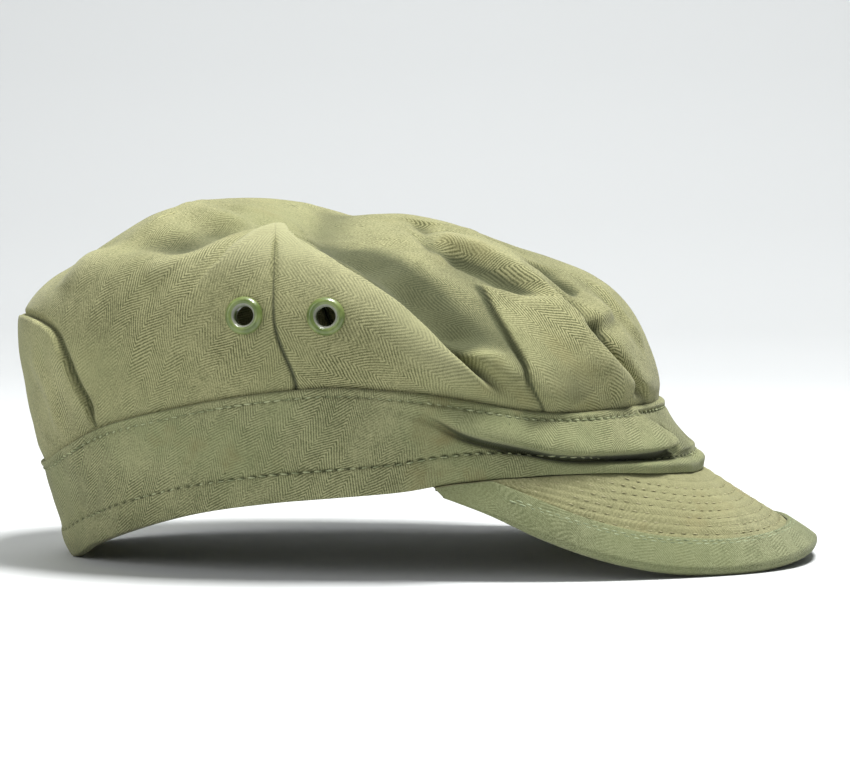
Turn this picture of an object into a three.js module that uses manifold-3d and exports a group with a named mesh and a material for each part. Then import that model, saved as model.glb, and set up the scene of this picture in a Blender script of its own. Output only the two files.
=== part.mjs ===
// A soft cloth field cap with a stitched, bound visor, standing on its rim and visor as it would by
// itself. Millimetres, +Z up, +X to the front, +Y to the wearer's left. Along the length, x starts
// at the back of the rim, and the finished group is moved to the middle of its footprint.
import * as THREE from 'three';
import { mergeVertices } from 'three/addons/utils/BufferGeometryUtils.js';
import Module from 'manifold-3d';

const rimLength = 213;          // back of the rim to the visor's seam, a head size of about 59 cm
const rimWidth = 160;
const bandTopMiddle = 94.2;     // the upper edge of the headband is an oval too, set further back
const bandTopLength = 209.6;
const bandTopWidth = 168;
const poleX = 62;               // where all sections of the crown meet, on its top
const poleZ = 119.6;

const bandWall = 2;
const crownWall = 1.2;
const visorWall = 2.2;
const bindingWall = 1;
const gap = 0.3;                // between pieces that are sewn together

const visorHalfTurn = 79;       // the visor's corners, in degrees round the rim from the front
const visorTuck = 3.4;          // the strip of the visor that lies under the headband
const bindingWidth = 11;
const bindingSlack = 0.4;       // the hollow between the binding and the visor's edge
const bindingShare = 0.75;      // of the visor's depth, where that is less than the full width

const eyeletHole = 6;
const eyeletAcross = 12.2;
const eyeletBarrel = 7;
const eyeletRise = 1.9;         // how far the rolled ring stands out of the cloth
const eyeletEdge = 0.5;         // the thickness of its thin edges and flange
const eyeletFlare = 1.2;        // how far the barrel is spread behind the cloth
const eyeletBack = 0.9;         // from the inner face of the cloth to that flange
const punchLength = 16;

const columnsRound = 72;        // facets round the cap
const crownRows = 18;
const bandColumns = 60;
const visorColumns = 36;
const visorRows = 4;
const eyeletFacets = 14;

// Height of the rim and of the headband's upper edge over the floor, along the length.
const rimHeights = [
  { x: 0, z: 0 }, { x: 3, z: 0 }, { x: 12, z: 6.2 }, { x: 30, z: 14 }, { x: 49, z: 19.8 },
  { x: 72, z: 24 }, { x: 96, z: 26.6 }, { x: 117, z: 28.6 }, { x: 133, z: 31.2 }, { x: 150, z: 32.6 },
  { x: 178, z: 33 }, { x: 203, z: 30.8 }, { x: 213, z: 29.6 },
];
const bandTopHeights = [
  { x: -10.6, z: 31 }, { x: 3, z: 38.4 }, { x: 14.5, z: 45 }, { x: 25, z: 49 }, { x: 40, z: 53 },
  { x: 60, z: 57.3 }, { x: 80, z: 60.2 }, { x: 95, z: 61.3 }, { x: 112, z: 60.4 },
  { x: 127, z: 58.8 }, { x: 140, z: 56.5 }, { x: 155, z: 53.4 }, { x: 170, z: 52 },
  { x: 199, z: 52.4 },
];

// Sections of the crown from the headband up to the pole. The turn is in degrees from the front,
// out is a share of the way from the pole to the headband, and up is the height.
const crownKnots = { foot: 0, low: 0.15, belly: 0.3, ridge: 0.44, valley: 0.56, crest: 0.78, pole: 1 };
const crownSections = [
  { turn: 0, lowOut: 0.972, lowUp: 68, bellyOut: 0.92, bellyUp: 83, ridgeOut: 0.83, ridgeUp: 94,
    valleyOut: 0.7, valleyUp: 101, crestOut: 0.36, crestUp: 113 },
  { turn: 30, lowOut: 0.99, lowUp: 63, bellyOut: 0.96, bellyUp: 72, ridgeOut: 0.88, ridgeUp: 84,
    valleyOut: 0.72, valleyUp: 96, crestOut: 0.37, crestUp: 111 },
  { turn: 60, lowOut: 1.02, lowUp: 63, bellyOut: 0.99, bellyUp: 71, ridgeOut: 0.89, ridgeUp: 83,
    valleyOut: 0.73, valleyUp: 96, crestOut: 0.41, crestUp: 109.5 },
  { turn: 90, lowOut: 1.02, lowUp: 73, bellyOut: 1, bellyUp: 86, ridgeOut: 0.9, ridgeUp: 98.5,
    valleyOut: 0.75, valleyUp: 105, crestOut: 0.42, crestUp: 112.5 },
  { turn: 120, lowOut: 1.04, lowUp: 64, bellyOut: 1.06, bellyUp: 80, ridgeOut: 0.99, ridgeUp: 97,
    valleyOut: 0.83, valleyUp: 108, crestOut: 0.47, crestUp: 116.5 },
  { turn: 150, lowOut: 1.06, lowUp: 56, bellyOut: 1.1, bellyUp: 76, ridgeOut: 1.03, ridgeUp: 91,
    valleyOut: 0.82, valleyUp: 103, crestOut: 0.42, crestUp: 117 },
  { turn: 180, lowOut: 1.05, lowUp: 50, bellyOut: 1.085, bellyUp: 74, ridgeOut: 1.02, ridgeUp: 87,
    valleyOut: 0.78, valleyUp: 98.5, crestOut: 0.38, crestUp: 116.5 },
];

// Folds of the crown on a flat map of it, a disc whose middle is the pole and whose edge is the
// headband. A route's points are a turn, in degrees from the front and below zero on the wearer's
// right, and a climb. Its left side, going along it, is called beyond, the other below. Rise is how
// far the cloth stands out, beyond and below how far that spreads to each side, sink how far the
// cloth dips past the steeper side, and lean how far the fold hangs over towards below.
const mapRadius = 115;
const narrowestFold = 8;
const foldEnd = 0.25;           // the share of a route over which the fold fades out at each end
const dipAway = 1.6;            // widths of the steeper side from the route to the bottom of the dip
const flatFoot = 0.08;          // the climb below which the folds flatten out towards the headband
const crownFolds = [
  { name: 'side flap', rise: 3.4, below: 15, beyond: 6, sink: 3.6, lean: 0,
    route: [[-121, 0.34], [-114, 0.44], [-106, 0.51], [-97, 0.52], [-87, 0.47], [-79, 0.38], [-70, 0.27],
      [-62, 0.15], [-53, 0.02]] },
  { name: 'front pleat', rise: 3, below: 2.5, beyond: 13, sink: 2.5, lean: 1.5,
    route: [[-47, 0.54], [-53, 0.42], [-55, 0.3], [-54, 0.15], [-52, 0.02]] },
  { name: 'arc', rise: 3, below: 13, beyond: 5, sink: 4, lean: 0,
    route: [[-62, 0.58], [-49, 0.63], [-40, 0.62], [-34, 0.53], [-33, 0.41], [-30, 0.28], [-25, 0.12],
      [-20, 0]] },
  { name: 'bump', rise: 3, below: 6, beyond: 10, sink: 3, lean: 0,
    route: [[-77, 0.5], [-64, 0.6], [-38, 0.7], [-12, 0.76], [20, 0.72]] },
  { name: 'notch', rise: -3.5, below: 7, beyond: 7, sink: 0, lean: 0,
    route: [[-90, 0.64], [-80, 0.72], [-60, 0.83], [-10, 0.88], [40, 0.82]] },
  { name: 'back ridge', rise: 3, below: 8, beyond: 5, sink: 3, lean: 0,
    route: [[-150, 0.74], [-136, 0.78], [-118, 0.77], [-107, 0.74], [-97, 0.7]] },
  { name: 'rear upright', rise: 2.5, below: 7, beyond: 7, sink: 0, lean: 0,
    route: [[-145, 0.42], [-141, 0.56], [-136, 0.66], [-132, 0.78]] },
  { name: 'rear slant', rise: 2.5, below: 8, beyond: 6, sink: 2, lean: 0,
    route: [[-152, 0.5], [-137, 0.49], [-125, 0.48], [-116, 0.46]] },
  { name: 'rear pleat', rise: 3, below: 2.5, beyond: 14, sink: 2.5, lean: 2,
    route: [[-172, 0.36], [-161, 0.35], [-154, 0.33], [-147, 0.27], [-143, 0.2], [-141, 0.1],
      [-139, 0]] },
  { name: 'rear lower', rise: 1.5, below: 5, beyond: 5, sink: 0, lean: 0,
    route: [[-160, 0.25], [-156, 0.17], [-153, 0.1], [-154, 0.02]] },
  { name: 'left flap', rise: 2.2, below: 14, beyond: 7, sink: 2.2, lean: 0,
    route: [[50, 0.03], [61, 0.16], [72, 0.29], [84, 0.41], [97, 0.48], [110, 0.46], [120, 0.36]] },
  { name: 'left pleat', rise: 2.5, below: 12, beyond: 4, sink: 2, lean: 0,
    route: [[46, 0.02], [49, 0.16], [47, 0.32], [40, 0.46]] },
  { name: 'left rear', rise: 2.5, below: 8, beyond: 12, sink: 2, lean: 0,
    route: [[140, 0.02], [146, 0.16], [156, 0.28], [172, 0.34]] },
];

// The bunched front of the headband, from the rim up: how far each row swells out or sinks in, how
// far it hangs down, and the turn at which that has faded out.
const bandFade = 34;            // degrees over which it fades out
const bandUpward = 0.45;        // how much a swelling goes upwards for each millimetre outwards
const bandFolds = [
  { rise: 0, swell: 0, drop: 0, fades: 60 },
  { rise: 0.13, swell: 2, drop: 0, fades: 78 },
  { rise: 0.26, swell: -1.6, drop: 0, fades: 50 },
  { rise: 0.37, swell: 1.2, drop: 0.8, fades: 50 },
  { rise: 0.47, swell: -4.2, drop: 0, fades: 72 },
  { rise: 0.58, swell: 3.2, drop: 3.6, fades: 66 },
  { rise: 0.72, swell: 3.4, drop: 1.6, fades: 60 },
  { rise: 0.87, swell: 1.6, drop: 0.4, fades: 60 },
  { rise: 1, swell: 0, drop: 0, fades: 60 },
];

// The visor's outline by the turn of the seam that it starts from, on its upper side.
const visorEdge = [
  { turn: 0, x: 250, y: 0, z: 5.8 }, { turn: 12, x: 248.2, y: 18, z: 5.4 },
  { turn: 24, x: 242.2, y: 34.5, z: 4.3 }, { turn: 34, x: 232.5, y: 47, z: 2.9 },
  { turn: 43, x: 219.5, y: 56.8, z: 2.3 }, { turn: 52, x: 201.5, y: 65.8, z: 3.6 },
  { turn: 61, x: 181.5, y: 72.4, z: 7.9 }, { turn: 70, x: 160, y: 76.2, z: 15.3 },
  { turn: 75, x: 144.5, y: 77.9, z: 21.8 }, { turn: 79, x: 129.6, y: 78.9, z: 27.2 },
];

const eyelets = [
  { name: 'eyelet_right_front', turn: -91, climb: 0.27 },
  { name: 'eyelet_right_rear', turn: -105, climb: 0.3 },
  { name: 'eyelet_left_front', turn: 91, climb: 0.27 },
  { name: 'eyelet_left_rear', turn: 105, climb: 0.3 },
];

const clothMaterials = {
  crown: { color: 0x7d8455, roughness: 0.92, metalness: 0 },
  band: { color: 0x76805a, roughness: 0.92, metalness: 0 },
  visor: { color: 0x8a8a5e, roughness: 0.9, metalness: 0 },
  binding: { color: 0x73805a, roughness: 0.92, metalness: 0 },
  enamel: { color: 0x6b7a3c, roughness: 0.35, metalness: 0.1 },
};

const radians = THREE.MathUtils.degToRad;
const smooth = (from, to, value) => THREE.MathUtils.smoothstep(value, from, to);

// A smooth curve through the rows of a table, flat at both ends.
function along(rows, key, column, value) {
  const last = rows.length - 1;
  if (value <= rows[0][key]) return rows[0][column];
  if (value >= rows[last][key]) return rows[last][column];
  const i = rows.findIndex((row) => row[key] > value) - 1;
  const slope = (k) => (k <= 0 || k >= last ? 0
    : (rows[k + 1][column] - rows[k - 1][column]) / (rows[k + 1][key] - rows[k - 1][key]));
  return hermite(rows[i][key], rows[i][column], slope(i), rows[i + 1][key], rows[i + 1][column],
    slope(i + 1), value);
}

function hermite(x0, y0, slope0, x1, y1, slope1, x) {
  const span = x1 - x0;
  const t = (x - x0) / span;
  return y0 * (2 * t ** 3 - 3 * t ** 2 + 1) + slope0 * span * (t ** 3 - 2 * t ** 2 + t)
    + y1 * (3 * t ** 2 - 2 * t ** 3) + slope1 * span * (t ** 3 - t ** 2);
}

// The rim and the upper edge of the headband, by the turn from the front.
function rimPoint(turn) {
  const x = rimLength / 2 * (1 + Math.cos(radians(turn)));
  return new THREE.Vector3(x, rimWidth / 2 * Math.sin(radians(turn)), along(rimHeights, 'x', 'z', x));
}

function bandTopPoint(turn) {
  const x = bandTopMiddle + bandTopLength / 2 * Math.cos(radians(turn));
  return new THREE.Vector3(x, bandTopWidth / 2 * Math.sin(radians(turn)),
    along(bandTopHeights, 'x', 'z', x));
}

// The bare crown: one section of the table for each turn, a smooth curve through its knots.
function bareCrown(turn, climb) {
  const side = Math.abs(((turn + 180) % 360 + 360) % 360 - 180);
  const foot = bandTopPoint(turn);
  const knots = Object.entries(crownKnots).map(([name, at]) => {
    if (name === 'foot') return { at, out: 1, up: foot.z + gap };
    if (name === 'pole') return { at, out: 0, up: poleZ };
    return { at, out: along(crownSections, 'turn', name + 'Out', side),
      up: along(crownSections, 'turn', name + 'Up', side) };
  });
  const last = knots.length - 1;
  const i = Math.min(knots.findIndex((knot) => knot.at >= climb && knot.at > 0), last) - 1;
  const value = (column) => {
    const slope = (k) => {
      const before = Math.max(k - 1, 0);
      const after = Math.min(k + 1, last);
      if (k === last && column === 'up') return 0;
      return (knots[after][column] - knots[before][column]) / (knots[after].at - knots[before].at);
    };
    return hermite(knots[i].at, knots[i][column], slope(i), knots[i + 1].at, knots[i + 1][column],
      slope(i + 1), climb);
  };
  const out = value('out');
  return new THREE.Vector3(poleX + (foot.x - poleX) * out, foot.y * out, value('up'));
}

const toMap = (turn, climb) => new THREE.Vector2(1, 0)
  .rotateAround(new THREE.Vector2(), radians(turn)).multiplyScalar(mapRadius * (1 - climb));

function onMap(spot) {
  return bareCrown(THREE.MathUtils.radToDeg(spot.angle()), 1 - spot.length() / mapRadius);
}

// How far a spot of the map lies beyond a fold's route, the way across it and the share of the
// fold's height that is left there, which fades out at both ends.
function besideFold(fold, spot) {
  let nearest = { distance: Infinity };
  const points = fold.route.map(([turn, climb]) => toMap(turn, climb));
  const span = points.length - 1;
  for (let i = 0; i < span; i += 1) {
    const step = points[i + 1].clone().sub(points[i]);
    const offset = spot.clone().sub(points[i]);
    const share = THREE.MathUtils.clamp(offset.dot(step) / step.lengthSq(), 0, 1);
    const away = offset.addScaledVector(step, -share);
    const distance = away.length();
    if (distance < nearest.distance) {
      const across = new THREE.Vector2(-step.y, step.x).normalize();
      const beyond = away.dot(across) < 0 ? -distance : distance;
      nearest = { distance, beyond, across, at: (i + share) / span };
    }
  }
  const left = smooth(0, foldEnd, nearest.at) * smooth(0, foldEnd, 1 - nearest.at);
  return { ...nearest, left };
}

// The height of a fold at a distance beyond its route: a bell with two widths, and the dip past it.
function foldHeight(fold, beyond) {
  const below = Math.max(fold.below, narrowestFold);
  const above = Math.max(fold.beyond, narrowestFold);
  const swell = fold.rise * Math.exp(-((beyond / (beyond < 0 ? below : above)) ** 2));
  const steep = above < below ? above : -below;
  const dip = Math.exp(-((beyond / steep - dipAway) ** 2));
  return { swell, height: swell - fold.sink * dip };
}

// The crown with its folds.
function crownPoint(turn, climb) {
  const spot = toMap(turn, Math.min(climb, 0.999));
  const point = onMap(spot);
  const probe = 0.5;
  const ahead = (x, y) => onMap(new THREE.Vector2(spot.x + x, spot.y + y)).sub(point)
    .divideScalar(probe);
  const alongX = ahead(probe, 0);
  const alongY = ahead(0, probe);
  const normal = alongX.clone().cross(alongY).normalize();
  const free = smooth(0, flatFoot, climb);
  const shift = new THREE.Vector3();
  for (const fold of crownFolds) {
    const { beyond, across, left } = besideFold(fold, spot);
    const { swell, height } = foldHeight(fold, beyond);
    shift.addScaledVector(normal, left * free * height);
    const down = alongX.clone().multiplyScalar(-across.x).addScaledVector(alongY, -across.y).normalize();
    shift.addScaledVector(down, left * free * fold.lean * swell / fold.rise);
  }
  return point.add(shift);
}

function bandPoint(turn, rise) {
  const side = Math.abs(((turn + 180) % 360 + 360) % 360 - 180);
  const point = rimPoint(turn).lerp(bandTopPoint(turn), rise);
  const outward = new THREE.Vector3(Math.cos(radians(turn)), Math.sin(radians(turn)), bandUpward)
    .normalize();
  const fading = along(bandFolds, 'rise', 'fades', rise);
  const amount = 1 - smooth(fading - bandFade, fading, side);
  point.addScaledVector(outward, amount * along(bandFolds, 'rise', 'swell', rise));
  point.z = Math.max(point.z - amount * along(bandFolds, 'rise', 'drop', rise), 0);
  return point;
}

// The upper side of the visor, from its seam out to its edge, and below zero the strip that is
// tucked under the headband.
function visorPoint(turn, reach) {
  const side = Math.abs(turn);
  const seam = rimPoint(turn);
  seam.z -= gap;
  if (reach < 0) {
    const inward = new THREE.Vector3(-Math.cos(radians(turn)), -Math.sin(radians(turn)), 0);
    return seam.addScaledVector(inward, -reach * visorTuck);
  }
  const edge = new THREE.Vector3(along(visorEdge, 'turn', 'x', side),
    Math.sign(turn) * along(visorEdge, 'turn', 'y', side), along(visorEdge, 'turn', 'z', side));
  return seam.lerp(edge, reach);
}

// The ways along the visor's edge and inwards from it, and the way that its upper side faces.
function visorWays(turn, reach) {
  const probe = 1;
  const before = Math.max(turn - probe, -visorHalfTurn);
  const after = Math.min(turn + probe, visorHalfTurn);
  const sideways = visorPoint(after, reach).sub(visorPoint(before, reach)).normalize();
  const inward = visorPoint(turn, 0).sub(visorPoint(turn, 1));
  const depth = inward.length();
  const up = sideways.clone().cross(inward).normalize();
  const out = sideways.clone().cross(up).normalize();
  return { up, out, depth, square: -out.dot(inward) / depth };
}

// Each facet is wound so that it faces out, and facets without area are left out.
function closedMesh(points, faces) {
  const geometry = new THREE.BufferGeometry();
  const places = points.flatMap((point) => point.toArray());
  geometry.setAttribute('position', new THREE.Float32BufferAttribute(places, 3));
  geometry.setIndex(faces.flat());
  const merged = mergeVertices(geometry, 1e-4);
  const index = [...merged.index.array];
  const kept = [];
  for (let i = 0; i < index.length; i += 3) {
    const [a, b, c] = index.slice(i, i + 3);
    if (a !== b && b !== c && c !== a) kept.push(a, b, c);
  }
  merged.setIndex(kept);
  return merged;
}

// A cloth wall from the grid of its outer points, which are counted round the cap and then upwards.
// The inner points lie one thickness behind them, and the edges are closed. Where the cloth is
// folded, each square of the grid is split along the diagonal that lies closer to its true middle.
function clothWall(columns, rows, thickness, outer, options = {}) {
  const { round = false, levelEdge = false, folded = false, facing } = options;
  const grid = [];
  for (let i = 0; i <= columns; i += 1) {
    grid.push(Array.from({ length: rows + 1 }, (_, j) => outer(i, j)));
  }
  if (round) grid[columns] = grid[0];
  const before = (i) => (round && i === 0 ? columns - 1 : Math.max(i - 1, 0));
  const after = (i) => (round && i === columns ? 1 : Math.min(i + 1, columns));
  const inner = grid.map((column, i) => column.map((point, j) => {
    const ahead = grid[after(i)][j].clone().sub(grid[before(i)][j]);
    const up = column[Math.min(j + 1, rows)].clone().sub(column[Math.max(j - 1, 0)]);
    const out = facing ? facing(i, j) : ahead.cross(up).normalize();
    if (levelEdge && j === 0) out.setZ(0).normalize();
    return point.clone().addScaledVector(out, -thickness);
  }));
  const points = [...grid.flat(), ...inner.flat()];
  const outerAt = (i, j) => i * (rows + 1) + j;
  const innerAt = (i, j) => outerAt(i, j) + grid.flat().length;
  const faces = [];
  const quad = (a, b, c, d) => faces.push([a, b, c], [a, c, d]);
  const rising = (i, j) => {
    if (!folded) return true;
    const middle = outer(i + 0.5, j + 0.5);
    const off = (a, b) => a.clone().lerp(b, 0.5).distanceTo(middle);
    return off(grid[i][j], grid[i + 1][j + 1]) < off(grid[i + 1][j], grid[i][j + 1]);
  };
  for (let i = 0; i < columns; i += 1) {
    for (let j = 0; j < rows; j += 1) {
      const corners = [[i, j], [i + 1, j], [i + 1, j + 1], [i, j + 1]];
      if (!rising(i, j)) corners.push(corners.shift());
      quad(...corners.map((corner) => outerAt(...corner)));
      const [a, b, c, d] = corners.map((corner) => innerAt(...corner));
      quad(a, d, c, b);
    }
    quad(outerAt(i, 0), innerAt(i, 0), innerAt(i + 1, 0), outerAt(i + 1, 0));
    quad(outerAt(i, rows), outerAt(i + 1, rows), innerAt(i + 1, rows), innerAt(i, rows));
  }
  if (!round) {
    for (let j = 0; j < rows; j += 1) {
      quad(outerAt(0, j), outerAt(0, j + 1), innerAt(0, j + 1), innerAt(0, j));
      quad(outerAt(columns, j), innerAt(columns, j), innerAt(columns, j + 1), outerAt(columns, j + 1));
    }
  }
  return closedMesh(points, faces);
}

// The way that the crown's cloth faces, over a few millimetres of it.
function crownFacing(turn, climb) {
  if (climb === 1) return new THREE.Vector3(0, 0, 1);
  const probe = { turn: 2.5, climb: 0.025 };
  const lower = Math.max(climb - probe.climb, 0);
  const up = crownPoint(turn, climb + probe.climb).sub(crownPoint(turn, lower));
  const ahead = crownPoint(turn + probe.turn, climb).sub(crownPoint(turn - probe.turn, climb));
  return ahead.cross(up).normalize();
}

// The two seams of the crown run up over its sides and lean back a little.
const seamTurn = (climb) => 96 + 4 * smooth(0, 0.3, climb);

// One half of the crown, from seam to seam and up to the pole.
function crownHalf(isFront) {
  const columns = columnsRound / 2;
  const apart = new THREE.Vector3((isFront ? 0.6 : -0.6) * gap, 0, 0);
  const place = (i, j) => {
    const climb = j / crownRows;
    const seam = seamTurn(climb);
    const start = isFront ? -seam : seam;
    const end = isFront ? seam : 360 - seam;
    return j === crownRows ? [0, 1] : [start + (end - start) * i / columns, climb];
  };
  return clothWall(columns, crownRows, crownWall, (i, j) => crownPoint(...place(i, j)).add(apart),
    { folded: true, facing: (i, j) => crownFacing(...place(i, j)) });
}

function headband() {
  const rise = (j) => (bandFolds[Math.floor(j)].rise + bandFolds[Math.ceil(j)].rise) / 2;
  return clothWall(bandColumns, bandFolds.length - 1, bandWall,
    (i, j) => bandPoint(i * 360 / bandColumns, rise(j)), { round: true, levelEdge: true, folded: true });
}

function visor() {
  const reach = (j) => (j > visorRows ? -1 : 1 - j / visorRows);
  const place = (i, j) => [visorHalfTurn * (2 * i / visorColumns - 1), reach(j)];
  return clothWall(visorColumns, visorRows + 1, visorWall, (i, j) => visorPoint(...place(i, j)),
    { facing: (i, j) => (j > visorRows ? new THREE.Vector3(0, 0, 1) : visorWays(...place(i, j)).up) });
}

// A folded strip round the edge of the visor, from its under side round the edge to its upper side.
function visorBinding() {
  const far = visorWall / 2 + bindingSlack + bindingWall;
  const nose = bindingSlack + bindingWall;
  const section = [
    { inward: 1, past: 0, up: -1, outward: 0 }, { inward: 0.5, past: 0, up: -1, outward: 0 },
    { inward: 0, past: 0, up: -1, outward: 0.4 }, { inward: 0, past: 0.8, up: -0.62, outward: 1.2 },
    { inward: 0, past: 1, up: 0, outward: 3 }, { inward: 0, past: 0.8, up: 0.62, outward: 1.2 },
    { inward: 0, past: 0, up: 1, outward: 0.4 }, { inward: 0.5, past: 0, up: 1, outward: 0 },
    { inward: 1, past: 0, up: 1, outward: 0 },
  ];
  const place = (i, j) => {
    const turn = visorHalfTurn * (2 * i / visorColumns - 1);
    const { depth, square } = visorWays(turn, 1);
    const width = Math.min(bindingWidth / square, bindingShare * depth - 1);
    const reach = 1 - section[j].inward * width / depth;
    return { point: visorPoint(turn, reach), ...visorWays(turn, reach) };
  };
  return clothWall(visorColumns, section.length - 1, bindingWall, (i, j) => {
    const { point, up, out } = place(i, j);
    point.addScaledVector(up, section[j].up * far - visorWall / 2);
    point.addScaledVector(out, section[j].past * nose);
    point.z = Math.max(point.z, 0);
    return point;
  }, { facing: (i, j) => {
    const { up, out } = place(i, j);
    return up.multiplyScalar(Math.sign(section[j].up)).addScaledVector(out, section[j].outward)
      .normalize();
  } });
}

// The cloth's surface at an eyelet, and the turning that stands a lathed piece upright on it.
function eyeletSeat({ turn, climb }) {
  const out = crownFacing(turn, climb);
  const turned = new THREE.Quaternion().setFromUnitVectors(new THREE.Vector3(0, 1, 0), out);
  return { seat: crownPoint(turn, climb), turned };
}

// A rolled metal ring whose barrel passes through the cloth and is flared behind it.
function eyelet() {
  const hole = eyeletHole / 2;
  const barrel = eyeletBarrel / 2;
  const outer = eyeletAcross / 2;
  const flange = barrel + eyeletFlare;
  const behind = -crownWall - eyeletBack;
  const shoulder = 0.8 * eyeletRise;
  const profile = [[hole, behind - eyeletEdge], [flange, behind - eyeletEdge], [flange, behind],
    [barrel, behind], [barrel, eyeletEdge], [outer - eyeletEdge, eyeletEdge],
    [outer, eyeletRise / 2], [outer - eyeletEdge, shoulder], [(outer + hole) / 2, eyeletRise],
    [hole + eyeletEdge, shoulder], [hole, eyeletRise / 3]];
  const points = [...profile, profile[0]].map(([r, h]) => new THREE.Vector2(r, h));
  const lathe = new THREE.LatheGeometry(points, eyeletFacets);
  lathe.deleteAttribute('normal');
  lathe.deleteAttribute('uv');
  return mergeVertices(lathe, 1e-4);
}

const wasm = await Module();
wasm.setup();

function toSolid(geometry) {
  const vertProperties = new Float32Array(geometry.getAttribute('position').array);
  const triVerts = new Uint32Array(geometry.index.array);
  return new wasm.Manifold(new wasm.Mesh({ numProp: 3, vertProperties, triVerts }));
}

function toGeometry(solid) {
  const { vertProperties, triVerts } = solid.getMesh();
  const geometry = new THREE.BufferGeometry();
  geometry.setAttribute('position', new THREE.BufferAttribute(new Float32Array(vertProperties), 3));
  geometry.setIndex(new THREE.BufferAttribute(new Uint32Array(triVerts), 1));
  return geometry;
}

// The cloth of a half crown with the holes that its eyelets pass through.
function piercedHalf(isFront) {
  let solid = toSolid(crownHalf(isFront));
  for (const row of eyelets.filter(({ name }) => name.endsWith(isFront ? 'front' : 'rear'))) {
    const { seat, turned } = eyeletSeat(row);
    const across = eyeletBarrel / 2 + gap;
    const punch = new THREE.CylinderGeometry(across, across, punchLength, eyeletFacets);
    punch.deleteAttribute('normal');
    punch.deleteAttribute('uv');
    punch.applyQuaternion(turned).translate(...seat.toArray());
    solid = solid.subtract(toSolid(mergeVertices(punch, 1e-4)));
  }
  return toGeometry(solid);
}

const cap = new THREE.Group();

function addPiece(name, geometry, look) {
  geometry.computeVertexNormals();
  const mesh = new THREE.Mesh(geometry, new THREE.MeshStandardMaterial(look));
  mesh.name = name;
  cap.add(mesh);
  return mesh;
}

addPiece('crown_front', piercedHalf(true), clothMaterials.crown);
addPiece('crown_rear', piercedHalf(false), clothMaterials.crown);
addPiece('headband', headband(), clothMaterials.band);
addPiece('visor', visor(), clothMaterials.visor);
addPiece('visor_binding', visorBinding(), clothMaterials.binding);
for (const row of eyelets) {
  const { seat, turned } = eyeletSeat(row);
  const ring = addPiece(row.name, eyelet(), clothMaterials.enamel);
  ring.position.copy(seat);
  ring.quaternion.copy(turned);
}

const footprint = new THREE.Box3().setFromObject(cap);
const middle = footprint.getCenter(new THREE.Vector3());
cap.position.set(-middle.x, -middle.y, -footprint.min.z);
cap.updateMatrixWorld(true);

export default cap;
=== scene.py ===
import math

import bmesh
import bpy
import numpy as np
from mathutils import Matrix, Vector, noise


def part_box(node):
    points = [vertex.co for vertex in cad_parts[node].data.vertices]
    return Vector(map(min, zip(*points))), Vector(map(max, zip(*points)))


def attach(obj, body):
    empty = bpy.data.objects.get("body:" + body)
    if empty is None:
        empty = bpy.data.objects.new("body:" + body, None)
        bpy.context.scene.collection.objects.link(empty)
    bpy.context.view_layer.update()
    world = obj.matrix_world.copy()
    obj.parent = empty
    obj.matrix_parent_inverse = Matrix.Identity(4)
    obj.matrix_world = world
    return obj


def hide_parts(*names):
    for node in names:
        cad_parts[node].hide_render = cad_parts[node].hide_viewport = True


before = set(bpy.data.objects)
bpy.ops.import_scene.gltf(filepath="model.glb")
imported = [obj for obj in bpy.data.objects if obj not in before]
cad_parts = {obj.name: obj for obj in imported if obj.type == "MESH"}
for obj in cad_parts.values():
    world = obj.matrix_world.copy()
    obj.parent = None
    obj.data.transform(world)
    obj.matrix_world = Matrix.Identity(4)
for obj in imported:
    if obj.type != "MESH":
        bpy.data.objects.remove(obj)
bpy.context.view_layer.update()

# Every shape is worked out in millimetres from the back of the rim, x to the front, y to the
# wearer's left, z up, and then moved to where the frame's headband is.
cap = {"rimLength": 213, "rimWidth": 160, "bandTopMiddle": 94.2, "bandTopLength": 209.6,
       "bandTopWidth": 168, "poleX": 62, "poleZ": 119.6, "mapRadius": 115}
bandLow, bandHigh = (np.array(corner) * 1000 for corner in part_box("headband"))
frameShift = np.array([bandLow[0] - cap["bandTopMiddle"] + cap["bandTopLength"] / 2,
                       (bandLow[1] + bandHigh[1]) / 2, 0])

rimHeights = {"x": [0, 3, 12, 30, 49, 72, 96, 117, 133, 150, 178, 203, 213],
              "z": [0, 0, 6.2, 14, 19.8, 24, 26.6, 28.6, 31.2, 32.6, 33, 30.8, 29.6]}
bandTopHeights = {"x": [-10.6, 3, 14.5, 25, 40, 60, 80, 95, 112, 127, 140, 155, 170, 199],
                  "z": [31, 38.4, 45, 49, 53, 57.3, 60.2, 61.3, 60.4, 58.8, 56.5, 53.4, 52, 52.4]}


def toRow(points):   # millimetres from the back of the rim to metres in the frame
    return (points + frameShift) / 1000


def smooth(low, high, value):
    share = np.clip((value - low) / (high - low), 0, 1)
    return share * share * (3 - 2 * share)


def unit(vectors):
    return vectors / np.maximum(np.linalg.norm(vectors, axis=-1, keepdims=True), 1e-9)


def hermite(x0, y0, slope0, x1, y1, slope1, x):
    span = x1 - x0
    t = (x - x0) / span
    return (y0 * (2 * t ** 3 - 3 * t ** 2 + 1) + slope0 * span * (t ** 3 - 2 * t ** 2 + t)
            + y1 * (3 * t ** 2 - 2 * t ** 3) + slope1 * span * (t ** 3 - t ** 2))


def follow(table, key, column, value):   # a smooth curve through a table, flat at both ends
    xs, ys = np.array(table[key], float), np.array(table[column], float)
    slope = np.zeros(len(xs))
    slope[1:-1] = (ys[2:] - ys[:-2]) / (xs[2:] - xs[:-2])
    value = np.clip(value, xs[0], xs[-1])
    i = np.clip(np.searchsorted(xs, value, side="right") - 1, 0, len(xs) - 2)
    return hermite(xs[i], ys[i], slope[i], xs[i + 1], ys[i + 1], slope[i + 1], value)


def wavy(points, size, seed):   # soft noise at each point, from -1 to 1, with hills of that size
    return np.array([noise.noise(Vector(point) / size + Vector((seed, seed, seed))) for point in points])


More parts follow.
